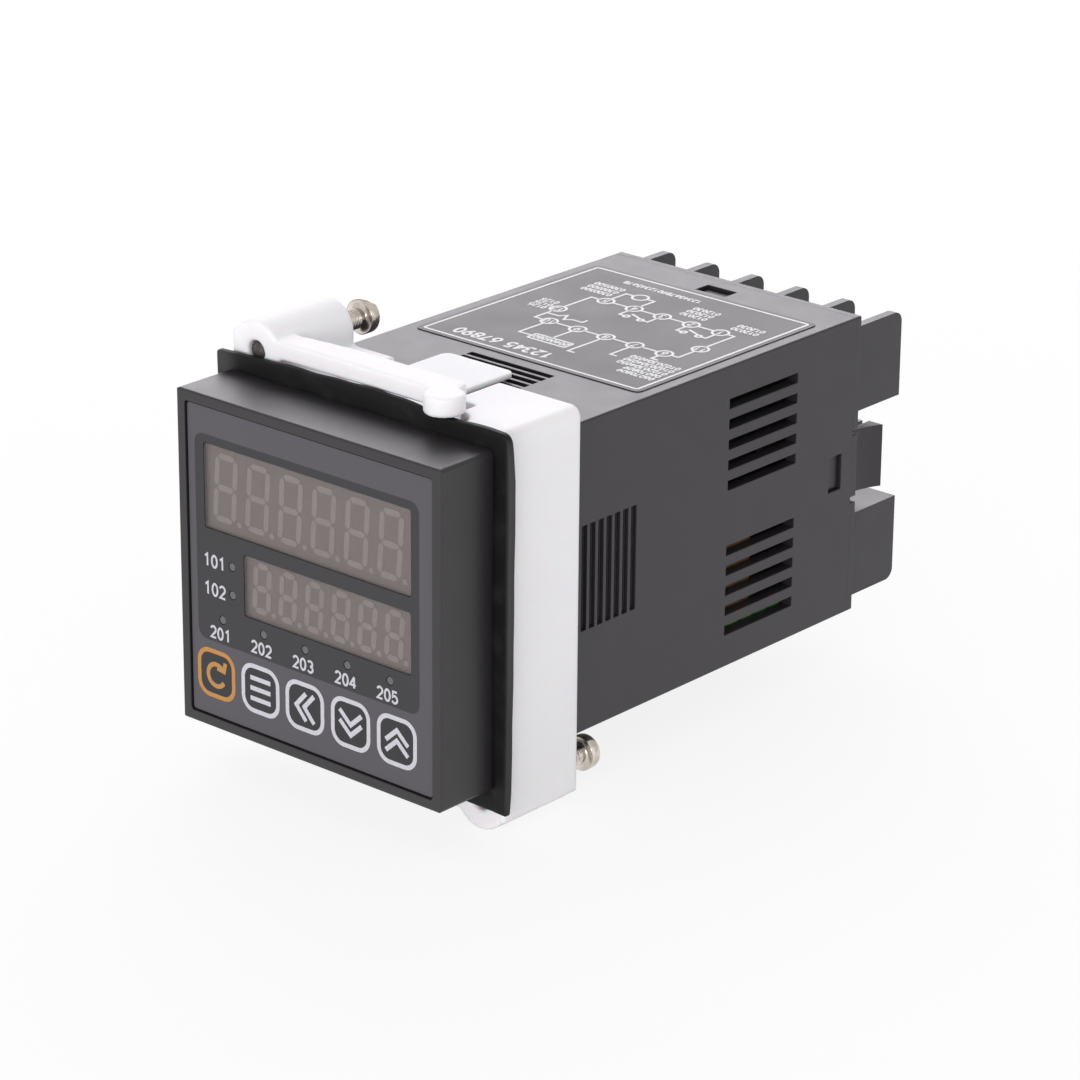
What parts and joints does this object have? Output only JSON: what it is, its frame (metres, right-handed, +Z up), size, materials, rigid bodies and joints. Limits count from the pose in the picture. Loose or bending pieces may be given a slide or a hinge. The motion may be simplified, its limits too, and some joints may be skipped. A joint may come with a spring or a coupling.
{
  "type": "panel counter",
  "caption": "Square panel-mounted digital counter with display windows, printed keys, a rubber gasket, a white clamping bracket and rear screw terminals.",
  "frame": {"origin": "middle of the gasket's rear face, where the instrument seats on its panel", "axes": "+X right seen from the front, +Y from the panel to the rear terminals, +Z up"},
  "size_m": [0.0526, 0.1004, 0.0624],
  "materials": {
    "case_plastic": "fine moulded texture",
    "printed_sheet": "printed film",
    "smoke_window": "clear smoky plastic",
    "display_face": "dark display face",
    "light_bar": "unlit light bars",
    "lamp": "unlit lamps",
    "key_plastic": "moulded plastic",
    "black_plastic": "moulded plastic",
    "circuit_board": "green lacquer",
    "relay_plastic": "moulded plastic",
    "winding_tape": "orange tape",
    "capacitor_sleeve": "shrunk sleeve",
    "film_coat": "dipped coating",
    "label_film": "printed label",
    "gasket_rubber": "black rubber sheet",
    "plated_metal": "nickel plate",
    "nylon": "translucent white nylon",
    "screw_metal": "nickel plate"
  },
  "bodies": {
    "counter": {"bezel": "case_plastic", "front_sheet": "printed_sheet", "window_filter": "smoke_window", "upper_digits": "display_face", "upper_segments": "light_bar", "lower_digits": "display_face", "lower_segments": "light_bar", "indicator_leds": "lamp", "key_switches": "black_plastic", "display_board": "circuit_board", "upper_board": "circuit_board", "lower_board": "circuit_board", "controller_chip": "black_plastic", "board_connectors": "black_plastic", "output_relays": "relay_plastic", "power_transformer": "winding_tape", "capacitors": "capacitor_sleeve", "film_capacitor": "film_coat", "case": "case_plastic", "top_label": "label_film", "gasket": "gasket_rubber", "terminal_block": "case_plastic", "terminal_plates": "plated_metal", "terminal_screws": "plated_metal"},
    "clamp_bracket": {"bracket": "nylon"},
    "upper_clamp_screw": {"upper_screw": "screw_metal"},
    "lower_clamp_screw": {"lower_screw": "screw_metal"},
    "reset_key_body": {"reset_key": "key_plastic"},
    "mode_key_body": {"mode_key": "key_plastic"},
    "left_key_body": {"left_key": "key_plastic"},
    "down_key_body": {"down_key": "key_plastic"},
    "up_key_body": {"up_key": "key_plastic"}
  },
  "joints": [
    {"name": "bracket_slide", "type": "slide", "parent": "counter", "child": "clamp_bracket", "axis": [0, 1, 0], "range_m": [0, 0.052]},
    {"name": "upper_screw_travel", "type": "slide", "parent": "clamp_bracket", "child": "upper_clamp_screw", "axis": [0, 1, 0], "range_m": [-0.0008, 0.012]},
    {"name": "lower_screw_travel", "type": "slide", "parent": "clamp_bracket", "child": "lower_clamp_screw", "axis": [0, 1, 0], "range_m": [-0.0008, 0.012]},
    {"name": "reset_key_press", "type": "slide", "parent": "counter", "child": "reset_key_body", "axis": [0, 1, 0], "range_m": [0, 0.00025], "stiffness_N_per_m": 2000},
    {"name": "mode_key_press", "type": "slide", "parent": "counter", "child": "mode_key_body", "axis": [0, 1, 0], "range_m": [0, 0.00025], "stiffness_N_per_m": 2000},
    {"name": "left_key_press", "type": "slide", "parent": "counter", "child": "left_key_body", "axis": [0, 1, 0], "range_m": [0, 0.00025], "stiffness_N_per_m": 2000},
    {"name": "down_key_press", "type": "slide", "parent": "counter", "child": "down_key_body", "axis": [0, 1, 0], "range_m": [0, 0.00025], "stiffness_N_per_m": 2000},
    {"name": "up_key_press", "type": "slide", "parent": "counter", "child": "up_key_body", "axis": [0, 1, 0], "range_m": [0, 0.00025], "stiffness_N_per_m": 2000}
  ]
}
